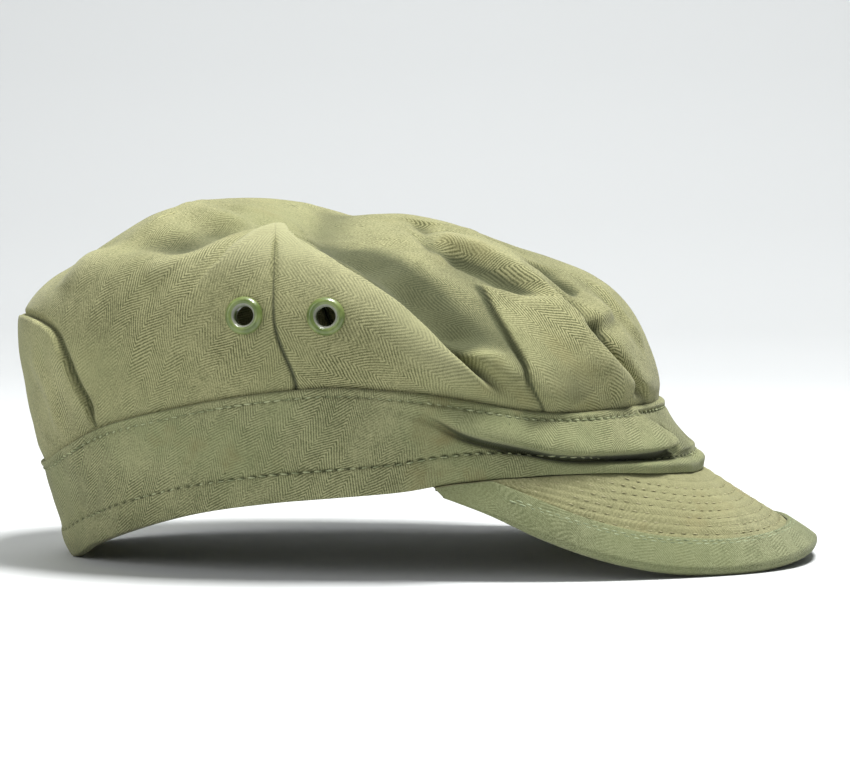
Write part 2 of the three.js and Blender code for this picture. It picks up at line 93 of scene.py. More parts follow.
def hillsOn(points, hills):   # the unevenness of soft cloth, as rows of size, seed and height
    return sum(wavy(points, size, seed) * height for size, seed, height in hills)


def awayAt(turn):   # the level way out from the cap's middle
    return np.stack([np.cos(np.radians(turn)), np.sin(np.radians(turn)), 0 * turn], 1)


def rimPoint(turn):
    x = cap["rimLength"] / 2 * (1 + np.cos(np.radians(turn)))
    return np.stack([x, cap["rimWidth"] / 2 * np.sin(np.radians(turn)),
                     follow(rimHeights, "x", "z", x)], 1)


def bandTopPoint(turn):
    x = cap["bandTopMiddle"] + cap["bandTopLength"] / 2 * np.cos(np.radians(turn))
    return np.stack([x, cap["bandTopWidth"] / 2 * np.sin(np.radians(turn)),
                     follow(bandTopHeights, "x", "z", x)], 1)


def addObject(name, content):
    piece = bpy.data.objects.new(name, content)
    bpy.context.scene.collection.objects.link(piece)
    return piece


def meshOf(name, shape):
    mesh = bpy.data.meshes.new(name)
    shape.to_mesh(mesh)
    shape.free()
    return mesh


def shapedGrid(name, across, up, place):   # a grid whose vertices are moved to place(u, v)
    shape = bmesh.new()
    bmesh.ops.create_grid(shape, x_segments=across, y_segments=up, size=0.5)
    mesh = meshOf(name, shape)
    flat = np.empty(len(mesh.vertices) * 3)
    mesh.vertices.foreach_get("co", flat)
    u, v = flat.reshape(-1, 3)[:, 0] + 0.5, flat.reshape(-1, 3)[:, 1] + 0.5
    made = place(u, v)
    mesh.vertices.foreach_set("co", toRow(made["points"]).ravel())
    loops = np.empty(len(mesh.loops), int)
    mesh.loops.foreach_get("vertex_index", loops)
    layer = mesh.uv_layers.new(name="cloth")
    layer.data.foreach_set("uv", made["cloth"][loops].ravel())
    wearAndShade = mesh.attributes.new("wearAndShade", "FLOAT", "POINT")
    wearAndShade.data.foreach_set("value", made["wearAndShade"])
    shape = bmesh.new()
    shape.from_mesh(mesh)
    bmesh.ops.remove_doubles(shape, verts=shape.verts, dist=2e-6)
    shape.to_mesh(mesh)
    shape.free()
    return addObject(name, mesh)


def finishCloth(piece, node, material, thickness=None):
    mesh = piece.data
    mesh.polygons.foreach_set("use_smooth", [True] * len(mesh.polygons))
    mesh.materials.append(material)
    if thickness:
        wall = piece.modifiers.new("wall", "SOLIDIFY")
        wall.thickness = thickness / 1000
        wall.offset = -1
    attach(piece, "root")
    if node:
        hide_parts(node)
    print("finished", piece.name, len(mesh.polygons))


# Shader writing: Wire carries one output and takes part in sums, Graph makes the nodes.
class Wire:
    def __init__(self, graph, socket):
        self.graph, self.socket = graph, socket

    def math(self, operation, *others):
        return self.graph.node("ShaderNodeMath", {"operation": operation}, {
            i: value for i, value in enumerate((self, *others))})

    def __add__(self, other):
        return self.math("ADD", other)

    def __radd__(self, other):
        return self.math("ADD", other)

    def __sub__(self, other):
        return self.math("SUBTRACT", other)

    def __rsub__(self, other):
        return self * -1 + other

    def __mul__(self, other):
        return self.math("MULTIPLY", other)

    def __rmul__(self, other):
        return self.math("MULTIPLY", other)

    def __truediv__(self, other):
        return self.math("DIVIDE", other)

    def __neg__(self):
        return self * -1

    def between(self, low, high):
        return self.graph.node("ShaderNodeMapRange", {"interpolation_type": "SMOOTHSTEP"},
                               {"Value": self, "From Min": low, "From Max": high})


class Graph:
    def __init__(self, name):
        self.material = bpy.data.materials.new(name)
        self.material.use_nodes = True
        self.tree = self.material.node_tree
        self.shader = self.tree.nodes["Principled BSDF"]

    def node(self, kind, settings=None, inputs=None, output=0):
        made = self.tree.nodes.new(kind)
        for key, value in (settings or {}).items():
            setattr(made, key, value)
        for key, value in (inputs or {}).items():
            self.feed(made.inputs[key], value)
        return Wire(self, made.outputs[output])

    def feed(self, socket, value):
        if isinstance(value, Wire):
            self.tree.links.new(value.socket, socket)
        elif socket.type == "RGBA" and len(value) == 3:
            socket.default_value = (*value, 1)
        else:
            socket.default_value = value

    def mix(self, factor, first, second):
        return self.node("ShaderNodeMix", {"data_type": "RGBA"}, {0: factor, 6: first, 7: second}, 2)

    def noise(self, place, scale, detail=2.0, roughness=0.5):
        return self.node("ShaderNodeTexNoise", {}, {
            "Vector": place, "Scale": scale, "Detail": detail, "Roughness": roughness})

    def uv(self, name):
        return self.node("ShaderNodeUVMap", {"uv_map": name})

    def parts(self, vector):
        split = self.tree.nodes.new("ShaderNodeSeparateXYZ")
        self.feed(split.inputs[0], vector)
        return [Wire(self, output) for output in split.outputs]


def linear(hexColor):   # a colour as a maker writes it, as the linear light that the shader takes
    channels = [int(hexColor[i:i + 2], 16) / 255 for i in (0, 2, 4)]
    return tuple(c / 12.92 if c <= 0.04045 else ((c + 0.055) / 1.055) ** 2.4 for c in channels)


herringbone = {"period": 9.4, "line": 0.77, "angle": 31, "bead": 0.5, "wobble": 3.5,
               "jitter": 0.2}   # millimetres of cloth, but for the angle and the jitter


def weave(graph, cloth, lean):   # zigzag columns of twill lines
    u, v, _ = graph.parts(cloth)
    wobble = graph.noise(cloth, 0.05, 0) - 0.5
    cosLean, sinLean = math.cos(math.radians(lean)), math.sin(math.radians(lean))
    across = u * sinLean - v * cosLean + wobble * herringbone["wobble"]
    along = u * cosLean + v * sinLean
    period = herringbone["period"]
    fold = ((across / period).math("FRACT") - 0.5).math("ABSOLUTE") * period
    cosLine = math.cos(math.radians(herringbone["angle"]))
    sinLine = math.sin(math.radians(herringbone["angle"]))
    jitter = (graph.noise(cloth, 0.8, 1) - 0.5) * herringbone["jitter"]
    phase = (fold * cosLine - along * sinLine) / herringbone["line"] + jitter
    line = (phase * (2 * math.pi)).math("COSINE") * 0.5 + 0.5
    row = phase.math("FLOOR") * 0.37   # the beads of neighbouring lines are set off from each other
    run = (fold * sinLine + along * cosLine) / herringbone["bead"] + row
    bead = (run * (2 * math.pi)).math("COSINE") * 0.5 + 0.5
    return line, bead


# How fine each noise is.
grain = {"patches": 55, "yarn": 1700, "fade": 16, "mottle": 210, "cloud": 38, "paintedGlint": 2600,
         "stain": 31, "speck": 620, "pucker": 130, "thread": 500, "fibre": 2600}


def clothMaterial(name, settings):
    graph = Graph(name)
    cloth = graph.uv("cloth")
    place = graph.node("ShaderNodeTexCoord", {}, {}, 3)
    wearAndShade = graph.node("ShaderNodeAttribute", {"attribute_name": "wearAndShade"}, {}, 2)
    line, bead = weave(graph, cloth, settings["lean"])
    patches = graph.noise(place, grain["patches"], 4, 0.65)
    yarn = graph.noise(place, grain["yarn"], 3, 0.7)
    fade = graph.noise(place, grain["fade"], 3, 0.55)
    mottle = graph.noise(place, grain["mottle"], 4, 0.7)
    cloud = graph.noise(place, grain["cloud"], 3, 0.6)
    strength = patches.between(0.34, 0.62) * (1 - settings["softest"]) + settings["softest"]
    thread = line * (bead * 0.4 + 0.6) * (yarn + 0.5)
    shown = (thread - 0.4) * strength * settings["contrast"] + 0.5
    # Painted highlight: small pale dots stand in for glints on the yarn.
    paintedGlint = graph.noise(place, grain["paintedGlint"], 1, 0.6).between(0.58, 0.72) * 0.25
    shown = shown + (yarn - 0.5) * settings["yarn"] + (mottle - 0.5) * settings["mottle"]
    shown = shown + (cloud - 0.5) * settings["cloud"] + paintedGlint
    color = graph.mix(shown.between(0, 1), linear(settings["dark"]), linear(settings["light"]))
    color = graph.mix(fade.between(0.45, 0.68) * 0.55, color, linear(settings["faded"]))
    stain = graph.noise(place, grain["stain"], 4, 0.6).between(0.55, 0.75) * settings["stained"]
    color = graph.mix(stain, color, linear(settings["stain"]))
    speck = graph.noise(place, grain["speck"], 1, 0.4).between(0.79, 0.83) * 0.5
    color = graph.mix(speck, color, linear(settings["shadeAndSpeck"]))
    # Ridges go lighter as rubbed cloth; the darkening in creases, hollows, seams and stitch grooves is
    # painted shade.
    color = graph.mix(wearAndShade.between(0.25, 1.2) * 0.4, color, linear(settings["rubbed"]))
    color = graph.mix((-wearAndShade).between(0.1, 1.1) * 0.8, color, linear(settings["shadeAndSpeck"]))
    graph.feed(graph.shader.inputs["Base Color"], color)
    graph.shader.inputs["Roughness"].default_value = 0.95
    graph.shader.inputs["Specular IOR Level"].default_value = 0.15
    graph.shader.inputs["Sheen Weight"].default_value = 0.08
    graph.shader.inputs["Sheen Roughness"].default_value = 0.5
    pucker = graph.noise(place, grain["pucker"], 2, 0.5)
    height = thread * strength * 0.3 + yarn * 0.3 + pucker * 0.5
    bump = graph.node("ShaderNodeBump", {}, {"Strength": settings["bump"], "Distance": 0.0005,
                                             "Height": height})
    graph.feed(graph.shader.inputs["Normal"], bump)
    return graph.material


clothLooks = {
    "crown": {"lean": 0, "light": "a6a479", "dark": "4e5033", "faded": "888a62", "rubbed": "b2b08b",
              "shadeAndSpeck": "3a3f2b", "stain": "83794d", "stained": 0.3, "contrast": 0.85, "softest": 0.3,
              "yarn": 1.1, "mottle": 0.35, "cloud": 0.5, "bump": 0.4},
    "band": {"lean": 47, "light": "9f9f77", "dark": "4f5237", "faded": "7e855e", "rubbed": "a8ad85",
             "shadeAndSpeck": "2f3421", "stain": "786b46", "stained": 0.7, "contrast": 0.85, "softest": 0.3,
             "yarn": 1.1, "mottle": 0.35, "cloud": 0.8, "bump": 0.4},
    "visor": {"lean": 20, "light": "a09e78", "dark": "5a5b3e", "faded": "8c8a62", "rubbed": "9d9a74",
              "shadeAndSpeck": "4c4b2f", "stain": "80724c", "stained": 0.5, "contrast": 0.4, "softest": 0.2,
              "yarn": 1.4, "mottle": 0.7, "cloud": 0.5, "bump": 0.5},
    "binding": {"lean": 45, "light": "939673", "dark": "4d5236", "faded": "787f59", "rubbed": "939b77",
                "shadeAndSpeck": "3a4228", "stain": "70724c", "stained": 0.3, "contrast": 0.45, "softest": 0.4,
                "yarn": 1.4, "mottle": 0.5, "cloud": 0.4, "bump": 0.5},
}
clothMaterials = {name: clothMaterial(name + " cloth", look) for name, look in clothLooks.items()}

# The crown: sections from the headband up to the pole, and folds on a flat map of it. Out is a share of
# the band's top, up is in millimetres.
crown = {
    "knots": {"low": 0.15, "belly": 0.3, "ridge": 0.44, "valley": 0.56, "crest": 0.78},
    "turn": [0, 30, 60, 90, 120, 150, 180],
    "lowOut": [0.972, 0.99, 1.02, 1.02, 1.04, 1.06, 1.05], "lowUp": [68, 63, 63, 73, 64, 56, 50],
    "bellyOut": [0.92, 0.96, 0.99, 1, 1.06, 1.1, 1.085], "bellyUp": [83, 72, 71, 86, 80, 76, 74],
    "ridgeOut": [0.83, 0.88, 0.89, 0.9, 0.99, 1.03, 1.02], "ridgeUp": [94, 84, 83, 98.5, 97, 91, 87],
    "valleyOut": [0.7, 0.72, 0.73, 0.75, 0.83, 0.82, 0.78],
    "valleyUp": [101, 96, 96, 105, 108, 103, 98.5],
    "crestOut": [0.36, 0.37, 0.41, 0.42, 0.47, 0.42, 0.38],
    "crestUp": [113, 111, 109.5, 112.5, 116.5, 117, 116.5],
    "across": 300, "up": 160, "wall": 1.2, "seamTurn": 96, "seamLean": 4, "rightShare": 0.64,
    "tucked": 0.035, "tuckDrop": 4, "seamDip": 0.7, "seamWidth": 0.9, "patternAcross": 36,
    "patternUp": 18,
    "hills": [[26, 3.1, 0.5], [11, 7.7, 0.3], [5, 4.4, 0.08]],
}
# A fold follows its route from one [turn, climb] to the next. It swells by rise, falls off over the
# widths below (right of the route) and beyond (left of it), sinks the cloth past its steep side and
# leans over that side. Its shade term is painted shade, darkening the colour only. What a row leaves out
# is as plainFold has it.
plainFold = {"sink": 0, "lean": 0, "paintedShade": 0, "fadeIn": 0.25, "fadeOut": 0.25}
crownFolds = [
    {"rise": 3, "below": 12, "beyond": 5, "sink": 1.6, "fadeOut": 0.1, "route": [
        [-124, 0.42], [-118, 0.45], [-112, 0.5], [-107, 0.54], [-102, 0.59], [-97, 0.6]]},   # curl
    {"rise": 4.5, "below": 17, "beyond": 3.2, "sink": 4.4, "lean": 2, "fadeIn": 0.1, "fadeOut": 0.3,
     "route": [[-101, 0.6], [-96, 0.57], [-92, 0.51], [-87, 0.44], [-82, 0.4], [-77, 0.36], [-73, 0.3],
               [-70, 0.24], [-66, 0.17], [-62, 0.09], [-57, 0]]},   # side flap
    {"rise": 2.2, "below": 4, "beyond": 10, "sink": 1.2, "fadeOut": 0.1, "route": [
        [-142, 0.76], [-128, 0.77], [-116, 0.72], [-107, 0.69], [-99, 0.63]]},   # back ridge
    {"rise": -1.2, "below": 7, "beyond": 5, "route": [
        [-136, 0.5], [-126, 0.56], [-116, 0.62], [-105, 0.66]]},   # dip behind the curl
    {"rise": -5.5, "below": 6, "beyond": 9, "paintedShade": 4.5, "route": [
        [-86, 0.72], [-77, 0.6], [-72, 0.5], [-69, 0.42], [-66, 0.35], [-63, 0.28]]},   # hollow, with painted shade
    {"rise": 0, "below": 16, "beyond": 16, "paintedShade": 3.2, "fadeIn": 0.1, "fadeOut": 0.05,
     "route": [[-80, 0.66], [-70, 0.56], [-60, 0.46], [-54, 0.32], [-48, 0.18],
               [-42, 0.04]]},   # painted shade there, darkening the cloth
    {"rise": 0, "below": 12, "beyond": 12, "paintedShade": 1.6, "route": [
        [-46, 0.7], [-40, 0.54], [-37, 0.38], [-32, 0.16]]},   # and in front of it
    {"rise": 0, "below": 20, "beyond": 20, "paintedShade": 2, "route": [
        [-30, 0.2], [-24, 0.42], [-8, 0.6], [14, 0.62]]},   # and at the front
    {"rise": 2.6, "below": 3.5, "beyond": 4.5, "sink": 0.6, "route": [
        [-76, 0.46], [-68, 0.54], [-60, 0.6], [-48, 0.65], [-36, 0.7]]},   # hollow's ridge
    {"rise": -2.6, "below": 2.2, "beyond": 2.4, "paintedShade": 2, "route": [
        [-14, 0.745], [-19, 0.738], [-32, 0.71], [-44, 0.67], [-52, 0.62]]},   # hollow's dark line, painted shade in its crease
    {"rise": 2.6, "below": 6, "beyond": 6, "route": [
        [-50, 0.62], [-59, 0.53], [-62, 0.47], [-63, 0.35], [-61, 0.25], [-58, 0.16]]},   # upright there
    {"rise": 5, "below": 3.6, "beyond": 8, "sink": 3.6, "lean": 0.8, "fadeIn": 0.15, "fadeOut": 0.25,
     "route": [[-42, 0.69], [-35, 0.665], [-31, 0.64], [-31, 0.6], [-32, 0.56], [-33, 0.53], [-34, 0.49],
               [-35, 0.44]]},   # arc's upper part
    {"rise": 4.4, "below": 9, "beyond": 3, "sink": 3.4, "lean": 0.8, "fadeIn": 0.3, "fadeOut": 0.15,
     "route": [[-33, 0.54], [-34, 0.5], [-35, 0.46], [-35, 0.4], [-34.5, 0.34], [-32.5, 0.24],
               [-28, 0.12], [-23, 0]]},   # arc's lower part
    {"rise": 2.4, "below": 1, "beyond": 13, "sink": 0.6, "lean": 1.3, "fadeIn": 0.15, "fadeOut": 0.03,
     "route": [[-49, 0.54], [-50.5, 0.515], [-53, 0.46], [-54.5, 0.38], [-54.5, 0.29], [-54.5, 0.17],
               [-52, 0.065], [-49, -0.03]]},   # front pleat
    {"rise": -3.6, "below": 3, "beyond": 3, "paintedShade": 2.5, "route": [
        [-17, 0.56], [-22, 0.53], [-22.5, 0.5], [-22, 0.46]]},   # dip above the arc, with painted shade
    {"rise": 2.4, "below": 2.6, "beyond": 5, "sink": 1.2, "route": [
        [-36, 0.4], [-29.5, 0.405], [-23.5, 0.39], [-16.5, 0.37]]},   # small cross ridge
    {"rise": 3, "below": 1.8, "beyond": 12, "sink": 1.6, "lean": 0.8, "fadeIn": 0.4, "fadeOut": 0.03,
     "route": [[-25, 0.4], [-27, 0.355], [-28.5, 0.26], [-25.5, 0.15], [-18, 0.04],
               [-14, -0.03]]},   # lobe
    {"rise": 1.6, "below": 5, "beyond": 2.5, "sink": 1, "route": [
        [-4, 0.68], [-15, 0.65], [-20, 0.6], [-19, 0.56]]},   # top front crease
    {"rise": 1.2, "below": 5, "beyond": 5, "route": [
        [-60, 0.68], [-38, 0.74], [-12, 0.77], [14, 0.75]]},   # bump
    {"rise": 1.8, "below": 6, "beyond": 6, "route": [
        [-22, 0.7], [-4, 0.7], [14, 0.69], [30, 0.66]]},   # rise in front of it
    {"rise": -3.2, "below": 6, "beyond": 3.5, "route": [
        [-90, 0.66], [-80, 0.73], [-60, 0.83], [-10, 0.88], [40, 0.82]]},   # notch
    {"rise": 1.3, "below": 3.5, "beyond": 3.5, "route": [
        [-118, 0.86], [-98, 0.8], [-88, 0.74], [-84, 0.67]]},   # wrinkle behind the notch
    {"rise": -1.4, "below": 2.5, "beyond": 3.5, "paintedShade": 1, "route": [
        [-128, 0.83], [-110, 0.76], [-99, 0.69], [-92, 0.63]]},   # dip before the flap's point, with painted shade
    {"rise": 1.2, "below": 3, "beyond": 3, "sink": 0.6, "route": [
        [-8, 0.46], [-12, 0.38], [-13, 0.28], [-10, 0.18]]},   # front wrinkle
    {"rise": 2.2, "below": 6, "beyond": 6, "route": [
        [-145, 0.42], [-141, 0.56], [-136, 0.66], [-132, 0.78]]},   # rear upright
    {"rise": 2.2, "below": 8, "beyond": 5, "sink": 2, "route": [
        [-152, 0.5], [-137, 0.49], [-125, 0.48], [-118, 0.44]]},   # rear slant
    {"rise": 2.2, "below": 11, "beyond": 1.1, "sink": 1.4, "lean": 1.4, "fadeIn": 0.4, "fadeOut": 0.03,
     "route": [[-198, 0.36], [-186, 0.365], [-172, 0.36], [-158, 0.35], [-151, 0.33], [-146, 0.3],
               [-143, 0.24], [-141, 0.17], [-139, 0.1], [-139, 0]]},   # rear pleat
    {"rise": 1.5, "below": 4, "beyond": 4, "route": [
        [-156, 0.25], [-152, 0.2], [-150, 0.12], [-151, 0.02]]},   # rear lower
    {"rise": 1.6, "below": 4, "beyond": 5, "sink": 0.8, "route": [
        [24, 0.12], [27, 0.3], [33, 0.46], [48, 0.58]]},   # left front ridge
    {"rise": -2, "below": 5, "beyond": 5, "route": [
        [60, 0.78], [76, 0.68], [96, 0.66], [118, 0.72]]},   # left dip
    {"rise": 2.2, "below": 14, "beyond": 5, "sink": 2.2, "route": [
        [50, 0.03], [61, 0.16], [72, 0.29], [84, 0.41], [97, 0.48], [110, 0.46],
        [120, 0.36]]},   # left flap
    {"rise": 2.5, "below": 12, "beyond": 2.5, "sink": 2, "lean": 1, "route": [
        [46, 0.02], [49, 0.16], [47, 0.32], [40, 0.46]]},   # left pleat
    {"rise": 2.5, "below": 8, "beyond": 12, "sink": 2, "route": [
        [140, 0.02], [146, 0.16], [156, 0.28], [172, 0.34]]},   # left rear
]


def bareCrown(turn, climb):
    side = np.abs((turn + 180) % 360 - 180)
    foot = bandTopPoint(turn)
    at = np.array([0, *crown["knots"].values(), 1])
    outs = np.stack([np.ones_like(side), *(follow(crown, "turn", name + "Out", side)
                                           for name in crown["knots"]), np.zeros_like(side)])
    ups = np.stack([foot[:, 2] + 0.3, *(follow(crown, "turn", name + "Up", side)
                                        for name in crown["knots"]), np.full_like(side, cap["poleZ"])])
    i = np.clip(np.searchsorted(at, climb, side="left") - 1, 0, len(at) - 2)
    each = np.arange(len(climb))

    def along(values, endSlope):
        slope = np.empty_like(values)
        slope[1:-1] = (values[2:] - values[:-2]) / (at[2:] - at[:-2])[:, None]
        slope[0] = (values[1] - values[0]) / at[1]
        slope[-1] = (values[-1] - values[-2]) / (at[-1] - at[-2]) * endSlope
        return hermite(at[i], values[i, each], slope[i, each], at[i + 1], values[i + 1, each],
                       slope[i + 1, each], climb)

    out = along(outs, 1)
    return np.stack([cap["poleX"] + (foot[:, 0] - cap["poleX"]) * out, foot[:, 1] * out,
                     along(ups, 0)], 1)


def toMap(turn, climb):
    radius = cap["mapRadius"] * (1 - climb)
    return np.stack([np.cos(np.radians(turn)) * radius, np.sin(np.radians(turn)) * radius], 1)


def onMap(spots):
    radius = np.linalg.norm(spots, axis=1)
    return bareCrown(np.degrees(np.arctan2(spots[:, 1], spots[:, 0])), 1 - radius / cap["mapRadius"])


def smoothRoute(points, steps=4):   # a smooth curve through a fold's points
    at = np.arange(len(points))
    fine = np.linspace(0, len(points) - 1, steps * (len(points) - 1) + 1)
    table = {"at": at, "x": points[:, 0], "y": points[:, 1]}
    return np.stack([follow(table, "at", "x", fine), follow(table, "at", "y", fine)], 1)


def besideFold(route, spots):   # how far left of a route each spot is, which way, and its share along
    span = len(route) - 1
    nearest = np.full(len(spots), np.inf)
    left, share = np.zeros(len(spots)), np.zeros(len(spots))
    across = np.zeros((len(spots), 2))
    for i in range(span):
        step = route[i + 1] - route[i]
        offset = spots - route[i]
        part = np.clip(offset @ step / (step @ step), 0, 1)
        away = offset - part[:, None] * step
        distance = np.linalg.norm(away, axis=1)
        facing = np.array([-step[1], step[0]]) / np.linalg.norm(step)
        closer = distance < nearest
        nearest[closer] = distance[closer]
        left[closer] = (np.sign(away @ facing) * distance)[closer]
        share[closer] = ((i + part) / span)[closer]
        across[closer] = facing
    return left, across, share


# Lifts a sheet along its folds. The sheet gives each spot's normal and the two ways in which a step
# on the flat sheet goes.
def layFolds(folds, onSheet, spots, sheet):
    shift, reliefShade = np.zeros((len(spots), 3)), np.zeros(len(spots))
    for row in folds:
        fold = {**plainFold, **row}
        route = smoothRoute(onSheet(*np.array(fold["route"], float).T))
        left, across, share = besideFold(route, spots)
        side = 1 if fold["beyond"] < fold["below"] else -1
        left = left + side * fold["lean"]
        hold = smooth(0, fold["fadeIn"], share) * smooth(0, fold["fadeOut"], 1 - share)
        width = np.where(left < 0, fold["below"], fold["beyond"])
        swell = np.exp(-(left / width) ** 2)
        steep = side * min(fold["below"], fold["beyond"])
        height = fold["rise"] * swell - fold["sink"] * np.exp(-((left / steep - 1.8) ** 2) * 0.8)
        shift += sheet["normal"] * (hold * height)[:, None]
        way = unit(sheet["alongX"] * across[:, :1] + sheet["alongY"] * across[:, 1:])
        shift += way * (hold * side * fold["lean"] * swell)[:, None]
        # Painted shade: a thin dark line is painted in the overhang.
        overhangShade = min(fold["lean"], 1.5) * 3 * np.exp(-((left - steep * 1.3) / 0.7) ** 2)
        # The colour value: raised cloth goes lighter as rubbed cloth; sunk cloth, the overhang and each
        # fold's shade term go darker as painted shade.
        reliefShade += hold * (height - overhangShade - fold["paintedShade"] * swell)
    return shift, reliefShade


def crownSurface(turn, climb):
    spots = toMap(turn, np.clip(climb, 0, 0.999))
    base = onMap(spots)
    probe = 0.5
    alongX = (onMap(spots + [probe, 0]) - base) / probe
    alongY = (onMap(spots + [0, probe]) - base) / probe
    normal = unit(np.cross(alongX, alongY))
    shift, reliefShade = layFolds(crownFolds, toMap, spots, {
        "normal": normal, "alongX": alongX, "alongY": alongY})
    free = smooth(0, 0.1, climb) * 0.85 + 0.15   # the foot is held by the headband
    return base + shift * free[:, None], normal, reliefShade


# Lays a grid of points out flat as cloth would lie: the lengths between neighbours are kept as well
# as they can be.
def flattenCloth(points, rounds=3000):
    flat = points["start"].copy()
    solid = points["solid"]
    rows, columns = solid.shape[:2]
    pairs = [((0, 0), (0, 1)), ((0, 0), (1, 0)), ((0, 0), (1, 1)), ((0, 1), (1, 0)),
             ((0, 0), (0, 2)), ((0, 0), (2, 0))]

    def cut(array, corner, size):
        return array[corner[0]:rows - size[0] + corner[0], corner[1]:columns - size[1] + corner[1]]

    links = []
    for first, second in pairs:
        size = (max(first[0], second[0]), max(first[1], second[1]))
        length = np.linalg.norm(cut(solid, second, size) - cut(solid, first, size), axis=2)
        links.append((first, second, size, length))
    for _ in range(rounds):
        push, weight = np.zeros_like(flat), np.full(flat.shape[:2], 1e-6)
        for first, second, size, length in links:
            a, b = cut(flat, first, size), cut(flat, second, size)
            step = b - a
            now = np.maximum(np.linalg.norm(step, axis=2), 1e-6)
            fix = step * ((now - length) / now)[..., None] / 2
            cut(push, first, size)[...] += fix
            cut(push, second, size)[...] -= fix
            cut(weight, first, size)[...] += 1
            cut(weight, second, size)[...] += 1
        flat += push / weight[..., None] * 1.6
    return flat


def crownPlace(isFront, u, v):   # the turn and climb of a spot of one half's grid
    seam = crown["seamTurn"] + crown["seamLean"] * smooth(0, 0.3, v)
    start, end = (-seam, seam) if isFront else (seam, 360 - seam)
    return start + (end - start) * u, v


def crownPattern(isFront):   # the half laid flat, on a coarse grid
    across, up = crown["patternAcross"], crown["patternUp"]
    u, v = np.meshgrid(np.linspace(0, 1, across + 1), np.linspace(0, 1, up + 1))
    turn, climb = crownPlace(isFront, u.ravel(), v.ravel())
    solid = bareCrown(turn, np.clip(climb, 0, 0.999)).reshape(up + 1, across + 1, 3)
    start = toMap(turn, climb).reshape(up + 1, across + 1, 2)
    return flattenCloth({"solid": solid, "start": start})


def readGrid(grid, u, v):   # the value of a coarse grid between its points
    rows, columns = grid.shape[0] - 1, grid.shape[1] - 1
    x, y = np.clip(u, 0, 1) * columns, np.clip(v, 0, 1) * rows
    i, j = np.minimum(x.astype(int), columns - 1), np.minimum(y.astype(int), rows - 1)
    a, b = (x - i)[:, None], (y - j)[:, None]
    return (grid[j, i] * (1 - a) * (1 - b) + grid[j, i + 1] * a * (1 - b)
            + grid[j + 1, i] * (1 - a) * b + grid[j + 1, i + 1] * a * b)


def makeCrownHalf(name, isFront):
    pattern = crownPattern(isFront)

    def place(u, v):
        share = crown["rightShare"] if isFront else 1 - crown["rightShare"]
        column = np.interp(u, [0, 0.02, share, 0.98, 1], [0, 0.008, 0.5, 0.992, 1])
        row = np.interp(v, [0, 0.04, 1], [-crown["tucked"], 0, 1])   # the first rows are in the band
        turn, climb = crownPlace(isFront, column, row)
        points, normal, reliefShade = crownSurface(turn, np.maximum(climb, 0))
        tuck = np.clip(-row / crown["tucked"], 0, 1)
        points[:, 2] -= tuck * crown["tuckDrop"]
        inward = smooth(0.05, -0.01, row) * 1.3 + tuck * 1.2
        points -= normal * inward[:, None]
        reach = np.abs(points[:, 1]) + 20
        fromSeam = np.minimum(column, 1 - column) * math.pi * reach
        dip = np.exp(-(fromSeam / crown["seamWidth"]) ** 2) * crown["seamDip"] * smooth(0.53, 0.47, row)
        points -= normal * dip[:, None]
        points += normal * (hillsOn(points, crown["hills"]) * smooth(0, 0.08, row))[:, None]
        flat = readGrid(pattern, column, np.clip(row, 0, 1))
        # Rubbed ridges go lighter; the folds' hollows and the seam's dip get painted shade.
        return {"points": points, "cloth": flat, "wearAndShade": reliefShade / 5 - dip * 1.6}

    return shapedGrid(name, crown["across"], crown["up"], place)


def pierce(piece, centres, radius):   # takes out the cloth under the middle of each eyelet
    shape = bmesh.new()
    shape.from_mesh(piece.data)
    gone = [face for face in shape.faces
            if any((face.calc_center_median() - centre).length < radius for centre in centres)]
    bmesh.ops.delete(shape, geom=gone, context="FACES")
    shape.to_mesh(piece.data)
    shape.free()


eyelets = {"hole": 3.0, "across": 12.2, "rise": 2.0, "cut": 3.6, "steps": 48, "places": {
    "eyelet_right_front": (-91, 0.27), "eyelet_right_rear": (-105, 0.3),
    "eyelet_left_front": (91, 0.27), "eyelet_left_rear": (105, 0.3)}}


def eyeletSeat(turn, climb):
    around = np.array([[0, 0], [3, 0], [-3, 0], [0, 0.03], [0, -0.03]])
    points, _, _ = crownSurface(turn + around[:, 0], climb + around[:, 1])
    facing = unit(np.cross(points[1] - points[2], points[3] - points[4]))
    return Vector(toRow(points[0])), Vector(facing)


for name, isFront in {"crown_front": True, "crown_rear": False}.items():
    half = makeCrownHalf("cloth_" + name, isFront)
    seats = [eyeletSeat(*place)[0] for ring, place in eyelets["places"].items()
             if ring.endswith("front") == isFront]
    pierce(half, seats, eyelets["cut"] / 1000)
    finishCloth(half, name, clothMaterials["crown"], crown["wall"])

